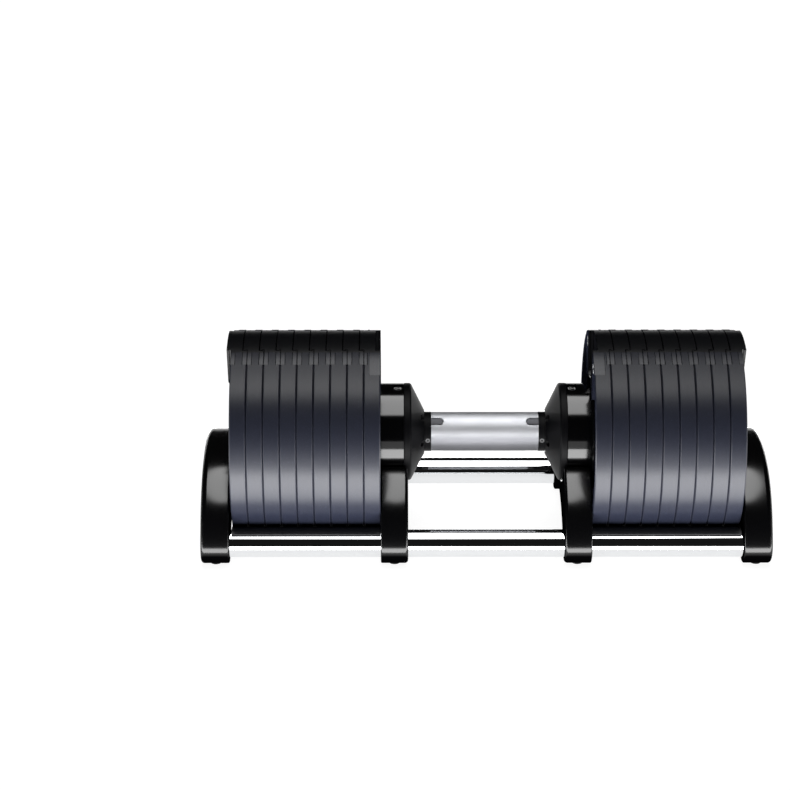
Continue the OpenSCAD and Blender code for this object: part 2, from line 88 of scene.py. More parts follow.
# %% [markdown]
# ## Camera
# A product looks most like itself from well back through a long lens, because parallel edges then stay nearly
# parallel. The camera looks down at the dumbbell by about 23 degrees from a little over two metres.

# %% Set the camera
LENS = 114.83
SENSOR = 36.0
LOOK_DOWN = 0.40177
TURN_RIGHT = 0.00168
STAND_AT = (-0.0769, -1.9040)
STAND_ABOVE_AXIS = 0.8416


def place_camera():
    """Turns the camera down from level by LOOK_DOWN and clockwise by TURN_RIGHT, both in radians."""
    data = bpy.data.cameras.new("camera")
    data.lens = LENS
    data.sensor_width = SENSOR
    camera = bpy.data.objects.new("camera", data)
    bpy.context.scene.collection.objects.link(camera)
    camera.location = (*STAND_AT, AXIS_Z + STAND_ABOVE_AXIS)
    camera.rotation_euler = (math.pi / 2 - LOOK_DOWN, 0, -TURN_RIGHT)
    bpy.context.scene.camera = camera
    print("camera at", [round(v, 3) for v in camera.location])


place_camera()

# %% [markdown]
# ## Studio light
# Gloss black shows nothing but its surroundings, so the room is lit for its reflections: one oval softbox
# straight overhead, dark walls, and a white table that throws light back up from below. The softbox reaches
# 28 degrees to the front and back of the zenith and 11 degrees to either side: long enough to draw a bright
# line on every round part, and narrow enough to leave the matt discs dark. Two low strips beside the object
# stand for the brightest part of the table, and the camera doesn't see them.

# %% Build the room
CAP_ACROSS = math.radians(28)
CAP_ALONG = math.radians(11)
CAP_SOFTNESS = 0.08
CAP_LIGHT = 7.5
WALL_LIGHT = 0.012
STRIP_LENGTH = 1.3
STRIP_NEAR = 0.11
STRIP_FAR = 0.28
STRIP_LIFT = 0.002
STRIP_LIGHT = 9.0
TABLE_HALF = 40.0
PAPER_SHADE = 0.2
PAPER_GLOW = 0.95


def build_sky():
    """Brightness drops from the cap's to the walls' where (x / reach along)^2 + (y / reach across)^2
    passes 1. The same patch lies straight below, where the table hides it."""
    world = bpy.data.worlds.new("studio")
    bpy.context.scene.world = world
    world.use_nodes = True
    nodes, links = world.node_tree.nodes, world.node_tree.links
    nodes.clear()
    where = nodes.new("ShaderNodeTexCoord")
    shape = nodes.new("ShaderNodeMapping")
    shape.inputs["Scale"].default_value = (1 / math.sin(CAP_ALONG), 1 / math.sin(CAP_ACROSS), 0)
    reach = nodes.new("ShaderNodeVectorMath")
    reach.operation = "LENGTH"
    cap = nodes.new("ShaderNodeMapRange")
    cap.interpolation_type = "SMOOTHSTEP"
    cap.inputs["From Min"].default_value = 1 + CAP_SOFTNESS
    cap.inputs["From Max"].default_value = 1 - CAP_SOFTNESS
    cap.inputs["To Min"].default_value = WALL_LIGHT
    cap.inputs["To Max"].default_value = CAP_LIGHT
    sky = nodes.new("ShaderNodeBackground")
    out = nodes.new("ShaderNodeOutputWorld")
    links.new(where.outputs["Generated"], shape.inputs["Vector"])
    links.new(shape.outputs["Vector"], reach.inputs[0])
    links.new(reach.outputs["Value"], cap.inputs["Value"])
    links.new(cap.outputs["Result"], sky.inputs["Strength"])
    links.new(sky.outputs[0], out.inputs[0])


def low_strip(name, side):
    """A flat light lying on the table, facing up, along the front (side -1) or the rear (side 1)."""
    data = bpy.data.lights.new(name, "AREA")
    data.shape = "RECTANGLE"
    data.size = STRIP_LENGTH
    data.size_y = STRIP_FAR - STRIP_NEAR
    data.energy = STRIP_LIGHT * math.pi * data.size * data.size_y
    strip = bpy.data.objects.new(name, data)
    strip.location = (0, side * (STRIP_NEAR + STRIP_FAR) / 2, STRIP_LIFT)
    strip.rotation_euler = (math.pi, 0, 0)
    strip.visible_camera = False
    bpy.context.scene.collection.objects.link(strip)


def lay_table():
    """A very large pale sheet at the height the feet stand on."""
    half = TABLE_HALF
    corners = [(-half, -half, 0), (half, -half, 0), (half, half, 0), (-half, half, 0)]
    mesh = bpy.data.meshes.new("table")
    mesh.from_pydata(corners, [], [(0, 1, 2, 3)])
    table = bpy.data.objects.new("table", mesh)
    bpy.context.scene.collection.objects.link(table)
    paper = bpy.data.materials.new("white_paper")
    paper.use_nodes = True
    shader = paper.node_tree.nodes["Principled BSDF"]
    shader.inputs["Base Color"].default_value = (PAPER_SHADE, PAPER_SHADE, PAPER_SHADE, 1)
    shader.inputs["Roughness"].default_value = 0.9
    shader.inputs["Specular IOR Level"].default_value = 0.0
    shader.inputs["Emission Color"].default_value = (1, 1, 1, 1)
    shader.inputs["Emission Strength"].default_value = PAPER_GLOW
    mesh.materials.append(paper)


build_sky()
low_strip("front_strip", -1)
low_strip("rear_strip", 1)
lay_table()
bpy.context.scene.view_settings.view_transform = "Standard"
softbox_share = math.sin(CAP_ALONG) * math.sin(CAP_ACROSS)
print("softbox fills", round(softbox_share, 3), "of what a flat table sees of the sky")

# %% [markdown]
# ## Effects that several finishes share
# Real surfaces are never one flat colour. Five small node groups supply what changes over a surface: a fine
# grain, slow smudges, wear along edges, the rings that a lathe leaves, and a painted shade that takes the
# lacquer's shine off by which way a face points.
# Each is built once and placed in a material with that material's own numbers.

# %% Node-group helpers
def new_group(name, inputs, outputs):
    """A shader node group with named float or colour sockets; returns it with its two end nodes."""
    group = bpy.data.node_groups.new(name, "ShaderNodeTree")
    for label, value in inputs.items():
        socket = group.interface.new_socket(name=label, in_out="INPUT", socket_type="NodeSocketFloat")
        socket.default_value = value
    for label in outputs:
        group.interface.new_socket(name=label, in_out="OUTPUT", socket_type="NodeSocketFloat")
    return group, group.nodes.new("NodeGroupInput"), group.nodes.new("NodeGroupOutput")


def add(tree, kind, **settings):
    """Adds a node; settings that name a socket give its value, others are attributes of the node."""
    node = tree.nodes.new("ShaderNode" + kind)
    for key, value in settings.items():
        if hasattr(node, key):
            setattr(node, key, value)
        else:
            node.inputs[key.replace("_", " ")].default_value = value
    return node


def maths(tree, operation, a, b=None):
    """One Math node; a and b are sockets or plain numbers."""
    node = add(tree, "Math", operation=operation)
    for socket, value in zip(node.inputs, (a, b)):
        if value is None:
            continue
        if isinstance(value, (int, float)):
            socket.default_value = value
        else:
            tree.links.new(value, socket)
    return node.outputs[0]


print("helpers ready")

# %% Grain: the fine mottling of powder coat and moulded nylon
def build_grain():
    """Height is noise at the given size; Fleck is 1 where the same noise passes its highest tenth."""
    group, start, end = new_group("fine_grain", {"Scale": 2500.0, "Detail": 3.0}, ["Height", "Fleck"])
    where = add(group, "TexCoord")
    noise = add(group, "TexNoise", Roughness=0.62)
    group.links.new(where.outputs["Object"], noise.inputs["Vector"])
    group.links.new(start.outputs["Scale"], noise.inputs["Scale"])
    group.links.new(start.outputs["Detail"], noise.inputs["Detail"])
    fleck = add(group, "MapRange", interpolation_type="SMOOTHSTEP", From_Min=0.56, From_Max=0.72)
    group.links.new(noise.outputs["Fac"], fleck.inputs["Value"])
    group.links.new(noise.outputs["Fac"], end.inputs["Height"])
    group.links.new(fleck.outputs["Result"], end.inputs["Fleck"])
    return group


GRAIN = build_grain()
print("made group", GRAIN.name)

# %% Smudges: slow changes in gloss that hands and cloths leave
def build_smudges():
    """Shift swings by plus or minus half of Amount, in patches a few centimetres across."""
    group, start, end = new_group("smudges", {"Scale": 30.0, "Amount": 0.1}, ["Shift"])
    where = add(group, "TexCoord")
    noise = add(group, "TexNoise", Detail=4.0, Roughness=0.55, Distortion=0.6)
    group.links.new(where.outputs["Object"], noise.inputs["Vector"])
    group.links.new(start.outputs["Scale"], noise.inputs["Scale"])
    centred = maths(group, "SUBTRACT", noise.outputs["Fac"], 0.5)
    group.links.new(maths(group, "MULTIPLY", centred, start.outputs["Amount"]), end.inputs["Shift"])
    return group


SMUDGES = build_smudges()
print("made group", SMUDGES.name)

# %% Edge wear: where a softened normal turns away from the true one, an edge is near
def build_edge_wear():
    """Wear rises with the angle between the face's normal and the normal of the edge rounded by Radius."""
    group, start, end = new_group("edge_wear", {"Radius": 0.0006, "Amount": 1.0}, ["Wear"])
    rounded = add(group, "Bevel", samples=4)
    group.links.new(start.outputs["Radius"], rounded.inputs["Radius"])
    true = add(group, "NewGeometry")
    facing = add(group, "VectorMath", operation="DOT_PRODUCT")
    group.links.new(rounded.outputs["Normal"], facing.inputs[0])
    group.links.new(true.outputs["Normal"], facing.inputs[1])
    turned = add(group, "MapRange", From_Min=0.995, From_Max=0.85)
    group.links.new(facing.outputs["Value"], turned.inputs["Value"])
    where = add(group, "TexCoord")
    patchy = add(group, "TexNoise", Scale=260.0, Detail=4.0)
    group.links.new(where.outputs["Object"], patchy.inputs["Vector"])
    worn = maths(group, "MULTIPLY", turned.outputs["Result"], patchy.outputs["Fac"])
    group.links.new(maths(group, "MULTIPLY", worn, start.outputs["Amount"]), end.inputs["Wear"])
    return group


EDGE_WEAR = build_edge_wear()
print("made group", EDGE_WEAR.name)

# %% Lathe rings: fine grooves that run round the handle axis
def build_lathe_rings():
    """Height is noise that changes fast along the X axis and hardly at all round it."""
    group, start, end = new_group("lathe_rings", {"Scale": 2200.0}, ["Height"])
    where = add(group, "TexCoord")
    stretch = add(group, "Mapping")
    stretch.inputs["Scale"].default_value = (1.0, 0.02, 0.02)
    noise = add(group, "TexNoise", Detail=2.0)
    group.links.new(where.outputs["Object"], stretch.inputs["Vector"])
    group.links.new(stretch.outputs["Vector"], noise.inputs["Vector"])
    group.links.new(start.outputs["Scale"], noise.inputs["Scale"])
    group.links.new(noise.outputs["Fac"], end.inputs["Height"])
    return group


RINGS = build_lathe_rings()
print("made group", RINGS.name)

# %% Painted shade by facing: the lacquer's coat stays round the front, comes off underneath and on flat ends, and is damped on top
def build_painted_shade_by_facing():
    """Weight is the coat's strength, a painted shade: 1 round the front, 0 where the surface faces down past
    Low,
    Top where it faces straight up, and 0 on ends that face along X."""
    group, start, end = new_group("painted_shade_by_facing", {"Low": -0.45, "High": -0.20, "Top": 1.0}, ["Weight"])
    where = add(group, "TexCoord")
    split = add(group, "SeparateXYZ")
    group.links.new(where.outputs["Normal"], split.inputs[0])
    # Painted shade underneath: no coat on faces that point down past Low.
    under = add(group, "MapRange", interpolation_type="SMOOTHSTEP")
    group.links.new(split.outputs["Z"], under.inputs["Value"])
    group.links.new(start.outputs["Low"], under.inputs["From Min"])
    group.links.new(start.outputs["High"], under.inputs["From Max"])
    ends = add(group, "MapRange", interpolation_type="SMOOTHSTEP", From_Min=0.92, From_Max=0.70)
    group.links.new(maths(group, "ABSOLUTE", split.outputs["X"]), ends.inputs["Value"])
    # Painted shade on top: the coat is damped to Top on faces that point up.
    dust_and_painted_top_shade = add(group, "MapRange", interpolation_type="SMOOTHSTEP", From_Min=0.60, From_Max=0.90)
    dust_and_painted_top_shade.inputs["To Min"].default_value = 1.0
    group.links.new(split.outputs["Z"], dust_and_painted_top_shade.inputs["Value"])
    group.links.new(start.outputs["Top"], dust_and_painted_top_shade.inputs["To Max"])
    side = maths(group, "MULTIPLY", ends.outputs["Result"], dust_and_painted_top_shade.outputs["Result"])
    group.links.new(maths(group, "MULTIPLY", under.outputs["Result"], side), end.inputs["Weight"])
    return group


PAINTED_SHADE_BY_FACING = build_painted_shade_by_facing()
print("node groups:", [g.name for g in bpy.data.node_groups])

# %% [markdown]
# ## Finishes
# Each finish is a Principled shader with its own constants, and the shared groups drive what changes over the
# surface: colour, roughness, metal showing through, a shallow bump, and a painted shade by facing that takes
# the coat off or darkens the colour.

# %% The common body of every finish
RESIN_IOR = 1.5
FINISH = {}


def place(tree, group, **values):
    """Puts a shared group into a material, with this material's own values."""
    node = tree.nodes.new("ShaderNodeGroup")
    node.node_tree = group
    for key, value in values.items():
        node.inputs[key].default_value = value
    return node


def blend_colours(tree, factor, a, b):
    """Colour a where factor is 0, colour b where it is 1."""
    mix = add(tree, "Mix", data_type="RGBA")
    tree.links.new(factor, mix.inputs["Factor"])
    for label, value in (("A", a), ("B", b)):
        socket = [s for s in mix.inputs if s.name == label and s.type == "RGBA"][0]
        if isinstance(value, tuple):
            socket.default_value = (*value, 1)
        else:
            tree.links.new(value, socket)
    return [s for s in mix.outputs if s.type == "RGBA"][0]


def finish_base(name, roughness, smudge, specular=0.5, metallic=0.0):
    """A Principled material whose roughness is a constant plus slow smudges."""
    material = bpy.data.materials.new(name)
    material.use_nodes = True
    tree = material.node_tree
    shader = tree.nodes["Principled BSDF"]
    shader.inputs["Metallic"].default_value = metallic
    shader.inputs["Specular IOR Level"].default_value = specular
    shader.inputs["IOR"].default_value = RESIN_IOR
    smudges = place(tree, SMUDGES, Amount=smudge)
    tree.links.new(maths(tree, "ADD", smudges.outputs["Shift"], roughness), shader.inputs["Roughness"])
    return material, tree, shader


def lacquer(tree, shader, roughness, low, high, top=1.0, painted_shade=None):
    """A clear coat in place of the base's own reflection, as strong as the painted shade by facing lets it
    be;
    none where painted_shade is 1."""
    painted_shade_by_facing = place(tree, PAINTED_SHADE_BY_FACING, Low=low, High=high, Top=top)
    shader.inputs["Specular IOR Level"].default_value = 0.0
    shader.inputs["Coat Roughness"].default_value = roughness
    weight = painted_shade_by_facing.outputs["Weight"]
    # Painted shade: no coat where this mask is 1, as along the inserts' seams.
    if painted_shade is not None:
        weight = maths(tree, "MULTIPLY", weight, maths(tree, "SUBTRACT", 1.0, painted_shade))
    tree.links.new(weight, shader.inputs["Coat Weight"])


def relief(tree, shader, height, depth):
    """A bump of the given depth in metres."""
    bump = add(tree, "Bump", Strength=1.0, Distance=depth)
    tree.links.new(height, bump.inputs["Height"])
    tree.links.new(bump.outputs["Normal"], shader.inputs["Normal"])


def keep_finish(slot, material):
    """Files a finish under the slot whose nodes wear it."""
    FINISH[slot] = material
    print("finish", material.name, "for", slot)


print("finish helpers ready")

# %% Powder coat on the steel discs
DISC_COLOUR = (0.0118, 0.0134, 0.0225)
CORE_HALF = 24.35 * MM


def powder_coat(name, colour, fleck_colour):
    """Dark blue-grey coat with pale flecks; a little steel shows along worn edges. The coat's shine comes off
    downward faces and is damped on top, a painted shade.
    """
    material, tree, shader = finish_base(name, roughness=0.52, smudge=0.12)
    # Painted shade: no coat on downward faces, and the coat damped on top.
    lacquer(tree, shader, 0.34, -0.75, 0.15, top=0.35)
    grain = place(tree, GRAIN, Scale=1900.0, Detail=4.0)
    flecked = blend_colours(tree, grain.outputs["Fleck"], colour, fleck_colour)
    wear = place(tree, EDGE_WEAR, Radius=0.0005, Amount=0.55)
    worn = blend_colours(tree, wear.outputs["Wear"], flecked, (0.075, 0.08, 0.10))
    tree.links.new(worn, shader.inputs["Base Color"])
    relief(tree, shader, grain.outputs["Height"], 0.00006)
    return material


keep_finish("steel_plate", powder_coat("disc_powder_coat", DISC_COLOUR, (0.032, 0.036, 0.060)))

# %% Moulded nylon and rubber
def moulded(name, colour, roughness, depth, scale=1400.0, specular=0.4):
    """Matt plastic: a fine pebbled skin, slightly paler on its high points and along its edges."""
    material, tree, shader = finish_base(name, roughness=roughness, smudge=0.14, specular=specular)
    grain = place(tree, GRAIN, Scale=scale, Detail=2.0)
    pale = tuple(min(1.0, c * 1.9) for c in colour)
    skin = blend_colours(tree, grain.outputs["Fleck"], colour, pale)
    wear = place(tree, EDGE_WEAR, Radius=0.0006, Amount=0.5)
    rubbed_and_painted_shade = blend_colours(tree, wear.outputs["Wear"], skin, tuple(c * 3.2 for c in colour))
    tree.links.new(rubbed_and_painted_shade, shader.inputs["Base Color"])
    relief(tree, shader, grain.outputs["Height"], depth)
    return material


keep_finish("dial_black", moulded("dial_black", (0.012, 0.012, 0.013), 0.5, 0.00002, 2600.0))
keep_finish("foot_rubber", moulded("foot_rubber", (0.018, 0.018, 0.018), 0.8, 0.00008, 900.0))
keep_finish("rest_nylon", moulded("rest_nylon", (0.010, 0.010, 0.011), 0.4, 0.00003))
cone_satin = moulded("cone_satin", (0.0015, 0.0015, 0.002), 0.45, 0.00001, 1800.0, specular=0.08)
black_screw = moulded("black_oxide", (0.03, 0.03, 0.033), 0.35, 0.00001, 2600.0)
number_paint = moulded("number_paint", (0.42, 0.42, 0.41), 0.5, 0.00001, 3000.0)
print("also", cone_satin.name, black_screw.name, number_paint.name)

# %% Interlock inserts: black in the middle, coated like the disc on the side flanges
def interlock_nylon():
    """Flanges start where the distance from the middle plane passes the core's half width. Seams are in
    shade."""
    material, tree, shader = finish_base("interlock_nylon", roughness=0.5, smudge=0.12)
    seam = place(tree, EDGE_WEAR, Radius=0.0009, Amount=3.0)
    seam_shade = maths(tree, "MINIMUM", seam.outputs["Wear"], 1.0)
    # Painted shade: no coat on downward faces or along the seams, and the coat damped on top.
    lacquer(tree, shader, 0.30, -0.75, 0.15, top=0.55, painted_shade=seam_shade)
    where = add(tree, "TexCoord")
    split = add(tree, "SeparateXYZ")
    tree.links.new(where.outputs["Object"], split.inputs[0])
    flange = maths(tree, "GREATER_THAN", maths(tree, "ABSOLUTE", split.outputs["Y"]), CORE_HALF)
    grain = place(tree, GRAIN, Scale=1600.0, Detail=3.0)
    black = blend_colours(tree, grain.outputs["Fleck"], (0.0045, 0.0047, 0.0058), (0.010, 0.0105, 0.012))
    coated = blend_colours(tree, grain.outputs["Fleck"], DISC_COLOUR, (0.030, 0.034, 0.058))
    two_tone = blend_colours(tree, flange, black, coated)
    shaded = blend_colours(tree, seam_shade, two_tone, (0.0006, 0.0006, 0.0008))
    tree.links.new(shaded, shader.inputs["Base Color"])
    relief(tree, shader, grain.outputs["Height"], 0.00004)
    return material


keep_finish("interlock_nylon", interlock_nylon())

# %% Gloss black lacquer
def gloss_black(name, roughness, peel, low, high):
    """Black lacquer with the faint ripple that sprayed or moulded gloss has, hazed by handling."""
    material, tree, shader = finish_base(name, roughness=0.5, smudge=0.07)
    # Painted shade: no coat on faces that point down past low.
    lacquer(tree, shader, roughness, low, high)
    ripple = place(tree, GRAIN, Scale=240.0, Detail=1.0)
    dust = place(tree, GRAIN, Scale=5200.0, Detail=2.0)
    dust_and_painted_top_shade = blend_colours(tree, dust.outputs["Fleck"], (0.0008, 0.0008, 0.0010), (0.0025, 0.0025, 0.0028))
    wear = place(tree, EDGE_WEAR, Radius=0.0005, Amount=0.35)
    rubbed_and_painted_shade = blend_colours(tree, wear.outputs["Wear"], dust_and_painted_top_shade, (0.012, 0.012, 0.013))
    tree.links.new(rubbed_and_painted_shade, shader.inputs["Base Color"])
    relief(tree, shader, ripple.outputs["Height"], peel)
    return material


keep_finish("bracket_gloss", gloss_black("bracket_lacquer", 0.17, 0.00003, -0.30, -0.05))
keep_finish("hub_gloss", gloss_black("hub_lacquer", 0.11, 0.00002, -0.45, -0.20))

# %% Bare and plated metals
def metal(name, colour, roughness, smudge, ring_depth=0.0, grain_depth=0.0, tarnish=0.85):
    """Solid metal: slightly darker in patches, with lathe rings or a satin grain pressed into it."""
    material, tree, shader = finish_base(name, roughness=roughness, smudge=smudge, metallic=1.0)
    patches = place(tree, GRAIN, Scale=90.0, Detail=3.0)
    duller = tuple(c * tarnish for c in colour)
    patchy = blend_colours(tree, patches.outputs["Height"], colour, duller)
    tree.links.new(patchy, shader.inputs["Base Color"])
    if ring_depth:
        rings = place(tree, RINGS, Scale=2200.0)
        relief(tree, shader, rings.outputs["Height"], ring_depth)
    elif grain_depth:
        grain = place(tree, GRAIN, Scale=3200.0, Detail=2.0)
        relief(tree, shader, grain.outputs["Height"], grain_depth)
    return material


keep_finish("rail_chrome", metal("rail_chrome", (0.78, 0.79, 0.80), 0.045, 0.03, tarnish=0.97))
keep_finish("bush_brass", metal("bush_brass", (0.62, 0.44, 0.19), 0.28, 0.12, ring_depth=0.00001))
keep_finish("rod_steel", metal("rod_steel", (0.52, 0.53, 0.55), 0.24, 0.10, ring_depth=0.00001))
keep_finish("screw_steel", metal("screw_steel", (0.26, 0.265, 0.28), 0.30, 0.16, grain_depth=0.00001))

# %% Plated knurl: bright on top and darker underneath, a painted shade by facing
def knurl_plating():
    """Painted shade: colour runs from dark to bright as the surface turns from facing forwards to facing up.
    """
    material, tree, shader = finish_base("grip_plating", roughness=0.52, smudge=0.10, metallic=1.0)
    rubbed_and_painted_shade = place(tree, PAINTED_SHADE_BY_FACING, Low=0.02, High=0.34)
    # Lit and shaded copies of one plating colour: the darker one underneath is a painted shade.
    plated = blend_colours(tree, rubbed_and_painted_shade.outputs["Weight"], (0.17, 0.172, 0.185), (0.66, 0.67, 0.70))
    tree.links.new(plated, shader.inputs["Base Color"])
    grain = place(tree, GRAIN, Scale=1500.0, Detail=2.0)
    relief(tree, shader, grain.outputs["Height"], 0.00009)
    return material


keep_finish("grip_steel", knurl_plating())

# %% Two-tone drive collar: blackened body, bare steel tongues let into the grip
TONGUE_SHOWS = 0.08 * MM
TONGUE_SKIN = 1.2 * MM


def drive_collar_finish():
    """Steel inside the grip's half length and near its outside, so only on the tongues' faces. Black
    elsewhere."""
    material, tree, shader = finish_base("drive_collar_finish", roughness=0.42, smudge=0.10, specular=0.04)
    where = add(tree, "TexCoord")
    split = add(tree, "SeparateXYZ")
    tree.links.new(where.outputs["Object"], split.inputs[0])
    out = maths(tree, "ABSOLUTE", split.outputs["X"])
    height = maths(tree, "SUBTRACT", split.outputs["Z"], AXIS_Z)
    height_squared = maths(tree, "MULTIPLY", height, height)
    depth_squared = maths(tree, "MULTIPLY", split.outputs["Y"], split.outputs["Y"])
    reach = maths(tree, "SQRT", maths(tree, "ADD", height_squared, depth_squared))
    bare = maths(tree, "MULTIPLY", maths(tree, "LESS_THAN", out, GRIP_END + TONGUE_SHOWS),
                 maths(tree, "GREATER_THAN", reach, GRIP_R - TONGUE_SKIN))
    grain = place(tree, GRAIN, Scale=2600.0, Detail=2.0)
    black = blend_colours(tree, grain.outputs["Fleck"], (0.004, 0.004, 0.0045), (0.010, 0.010, 0.011))
    steel = blend_colours(tree, grain.outputs["Height"], (0.060, 0.061, 0.065), (0.045, 0.046, 0.050))
    tree.links.new(blend_colours(tree, bare, black, steel), shader.inputs["Base Color"])
    tree.links.new(bare, shader.inputs["Metallic"])
    relief(tree, shader, grain.outputs["Height"], 0.00002)
    return material


keep_finish("collar_black", drive_collar_finish())

# %% Dress the CAD nodes
SPECIAL = {"hub_cone_left": cone_satin, "hub_cone_right": cone_satin, "collar_screws": black_screw}
slot_of = {part["node"]: part["material_slot"] for part in frame["record"]["subparts"]}
for node_name, node in frame["nodes"].items():
    node.data.materials.clear()
    node.data.materials.append(SPECIAL.get(node_name, FINISH[slot_of[node_name]]))
print("finishes:", len(FINISH), "on", len(slot_of), "nodes")

# %% [markdown]
# ## Surfaces from formulas
# A turned piece is a profile carried round an axis, a moulding is an outline carried through a profile. Both
# are grids of points, so one helper makes the quads between neighbouring points and another closes the flat
# ends. Doubles are merged, and then every face is turned to look outwards.

# %% Grid, ring and shell helpers
def ring_quads(first, second, count):
    """Quads between two closed rings of count points that start at indices first and second."""
    here = np.arange(count)
    after = (here + 1) % count
    return np.stack([first + here, first + after, second + after, second + here], axis=1)


class Shell:
    """Collects rings of points, the quads between them and the flat faces that close them."""

    def __init__(self):
        self.points, self.quads, self.caps, self.count = [], [], [], 0

    def rings(self, rows):
        """rows is an array (rings, points, 3). Neighbouring rings are joined. Returns where each starts."""
        total, size = rows.shape[0], rows.shape[1]
        first = self.count + np.arange(total) * size
        self.points.append(rows.reshape(-1, 3))
        self.quads += [ring_quads(a, b, size) for a, b in zip(first[:-1], first[1:])]
        self.count += total * size
        return [(start, size) for start in first]

    def cap(self, *loops):
        """Closes the flat region between an outer loop and any holes in it."""
        self.caps.append(loops)

    def build(self, name, material, crease=40):
        """Makes the mesh object: caps filled, doubles merged, normals outwards, smooth between creases."""
        mesh = bpy.data.meshes.new(name)
        quads = np.concatenate(self.quads)
        mesh.from_pydata(np.concatenate(self.points).tolist(), [], quads.tolist())
        work = bmesh.new()
        work.from_mesh(mesh)
        work.verts.ensure_lookup_table()
        for loops in self.caps:
            edges = []
            for start, size in loops:
                ring = [work.verts[start + i] for i in range(size)]
                edges += [work.edges.get(pair) for pair in zip(ring, ring[1:] + ring[:1])]
            bmesh.ops.triangle_fill(work, use_beauty=True, edges=[e for e in edges if e])
        bmesh.ops.remove_doubles(work, verts=work.verts, dist=1e-6)
        bmesh.ops.recalc_face_normals(work, faces=work.faces)
        work.to_mesh(mesh)
        work.free()
        mesh.shade_smooth()
        mesh.set_sharp_from_angle(angle=math.radians(crease))
        mesh.materials.append(material)
        piece = bpy.data.objects.new(name, mesh)
        bpy.context.scene.collection.objects.link(piece)
        return piece


def hand_over(piece, body, slot, *nodes):
    """Hangs the piece on its body's empty and hides the CAD nodes that it stands for. The slot is not used.
    """
    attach(piece, body)
    if nodes:
        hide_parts(*nodes)
    print(piece.name, len(piece.data.vertices), "points")


# %% A profile with rounded corners, carried round an axis along X
def rounded_profile(corners, steps=6):
    """corners are (x, radius, rounding). Each corner is replaced by an arc that touches both its sides."""
    flat = np.array([c[:2] for c in corners], float)
    path = [flat[:1]]
    for before, here, after, corner in zip(flat[:-2], flat[1:-1], flat[2:], corners[1:-1]):
        if corner[2] <= 0:
            path.append(here[None])
            continue
        into = (before - here) / np.linalg.norm(before - here)
        out = (after - here) / np.linalg.norm(after - here)
        half = math.acos(float(np.clip(into @ out, -1, 1))) / 2
        reach = corner[2] / math.tan(half)
        centre = here + (into + out) / np.linalg.norm(into + out) * corner[2] / math.sin(half)
        start = here + into * reach - centre
        stop = here + out * reach - centre
        sweep = math.acos(float(np.clip(start @ stop / (start @ start), -1, 1)))
        t = np.linspace(0, 1, steps + 1)[:, None]
        arc = (np.sin((1 - t) * sweep) * start + np.sin(t * sweep) * stop) / math.sin(sweep)
        path.append(centre + arc)
    path.append(flat[-1:])
    return np.concatenate(path)


def turned_rows(profile, y, z, count=128):
    """Each point (x, r) of the profile goes round the axis: (x, y + r sin a, z + r cos a)."""
    angle = np.linspace(0, 2 * math.pi, count, endpoint=False)
    x = np.repeat(profile[:, :1], count, axis=1)
    r = profile[:, 1:2]
    return np.stack([x, y + r * np.sin(angle), z + r * np.cos(angle)], axis=-1)


print("surface helpers ready")

# %% [markdown]
# ## Rails
# The two rails are chromed bar with chamfered ends that seat in the end brackets. Chrome hides nothing, so
# they are turned with many more facets than the CAD needs. A bar is the simplest turned piece: a straight
# profile between two rounded corners, closed on its axis.

# %% Turn the rails
RAIL_CHAMFER = 0.8 * MM
RAIL_STATIONS = 60
RAIL_FACETS = 160


def make_rail(name, y):
    """A constant radius between two rounded corners, with stations along it, carried round the axis."""
    chamfer = RAIL_CHAMFER
    profile = rounded_profile([
        (-RAIL_END, 0, 0), (-RAIL_END, RAIL_R, chamfer), (RAIL_END, RAIL_R, chamfer), (RAIL_END, 0, 0)])
    stations = np.linspace(-RAIL_END + chamfer, RAIL_END - chamfer, RAIL_STATIONS)
    middle = np.stack([stations[1:-1], np.full(RAIL_STATIONS - 2, RAIL_R)], axis=1)
    split = len(profile) // 2
    profile = np.concatenate([profile[:split], middle, profile[split:]])
    shell = Shell()
    shell.rings(turned_rows(profile, y, RAIL_Z, RAIL_FACETS))
    hand_over(shell.build(name + "_bar", FINISH["rail_chrome"]), "cradle", "rail_chrome", name)


make_rail("rail_front", -RAIL_Y)
make_rail("rail_rear", RAIL_Y)

# %% [markdown]
# ## Knurled grip
# A real knurl is two sets of spiral grooves rolled into the tube, one left-handed and one right-handed; what
# is left between them is a field of small pyramids. On a grid of (turn, length) each set of grooves is a
# triangle wave across one diagonal, and the pyramid height is the lower of the two waves. Both ends have
# three round-ended notches, into which the collars' drive tongues fit.

# %% Roll the knurl
KNURL_ROUND = 66
KNURL_PITCH = 2 * math.pi * GRIP_R / KNURL_ROUND
KNURL_DEPTH = 0.34 * MM
GRIP_BORE = 13.5 * MM
NOTCH_HALF = 3.35 * MM
NOTCH_LENGTH = 9.85 * MM
NOTCH_FIRST = math.radians(35)
PLAIN_END = 1.6 * MM
PLAIN_RUN = 0.4 * MM
NOTCH_EDGE = 0.35 * MM
NOTCH_FLOOR = 0.12 * MM
FLAT_TOPS = 1.25


def triangle_wave(phase):
    """0 at whole numbers, 1 half way between them, straight in between."""
    return 1 - np.abs(2 * (phase % 1) - 1)


def notch_depth(angle, x):
    """1 inside any of the three notches at either end, 0 outside, by the distance to a slot's outline."""
    centre = GRIP_END - NOTCH_LENGTH + NOTCH_HALF
    third = 2 * math.pi / 3
    around = ((angle + NOTCH_FIRST + third / 2) % third - third / 2) * GRIP_R
    along = np.minimum(np.abs(x) - centre, 0)
    distance = np.hypot(around, along) - NOTCH_HALF
    return np.clip(0.5 - distance / NOTCH_EDGE, 0, 1)


